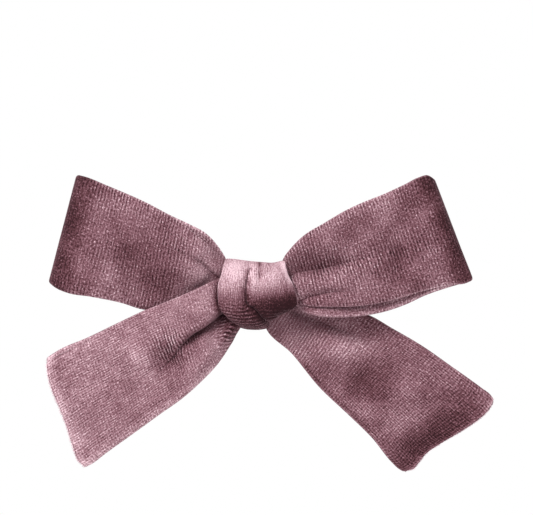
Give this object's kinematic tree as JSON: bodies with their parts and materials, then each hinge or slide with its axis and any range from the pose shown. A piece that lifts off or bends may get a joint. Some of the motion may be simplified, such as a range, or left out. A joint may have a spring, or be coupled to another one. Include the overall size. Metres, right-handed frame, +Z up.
{
  "type": "barrette",
  "caption": "Hair barrette with a soft velvet bow, two loops and two tails, bound to a slim metal squeeze-latch clip.",
  "frame": {"origin": "middle of the hair gap, between the base bar and the tension leaf", "axes": "+X along the clip towards its hinge, +Y towards the head, +Z up as the bow is worn; the bow faces -Y"},
  "size_m": [0.1108, 0.027, 0.0732],
  "materials": {
    "velvet": "soft ribbed velvet pile",
    "felt": "matt pressed felt",
    "thread": "twisted sewing thread",
    "plated_steel": "bright nickel plate",
    "spring_steel": "satin nickel plate"
  },
  "bodies": {
    "base": {"base_bar": "plated_steel", "hinge_pin": "plated_steel", "latch_base": "spring_steel", "latch_rivet": "plated_steel", "felt_pad": "felt", "felt_stitches": "thread", "gather_thread": "thread", "knot_band": "velvet", "left_loop": "velvet", "right_loop": "velvet", "left_tail": "velvet", "right_tail": "velvet"},
    "arm": {"clasp_arm": "plated_steel"},
    "leaf": {"tension_leaf": "spring_steel"},
    "prong_top": {"latch_prong_top": "spring_steel"},
    "prong_bottom": {"latch_prong_bottom": "spring_steel"}
  },
  "joints": [
    {"name": "clasp_hinge", "type": "hinge", "parent": "base", "child": "arm", "pos_m": [0.03, 0.0052, 0], "axis": [0, 0, -1], "range_deg": [0, 70]},
    {"name": "leaf_flex", "type": "hinge", "parent": "arm", "child": "leaf", "pos_m": [0.03, 0.0052, 0], "axis": [0, 0, -1], "range_deg": [0, 1.8], "stiffness_Nm_per_rad": 0.2},
    {"name": "prong_top_squeeze", "type": "hinge", "parent": "base", "child": "prong_top", "pos_m": [-0.0275, 0.0014, 0.0015], "axis": [-1, 0, 0], "range_deg": [0, 5.5], "stiffness_Nm_per_rad": 0.05},
    {"name": "prong_bottom_squeeze", "type": "hinge", "parent": "base", "child": "prong_bottom", "pos_m": [-0.0275, 0.0014, -0.0015], "axis": [1, 0, 0], "range_deg": [0, 5.5], "stiffness_Nm_per_rad": 0.05}
  ],
  "couplings": [
    {"joint": "prong_bottom_squeeze", "follows": "prong_top_squeeze", "ratio": 1}
  ]
}
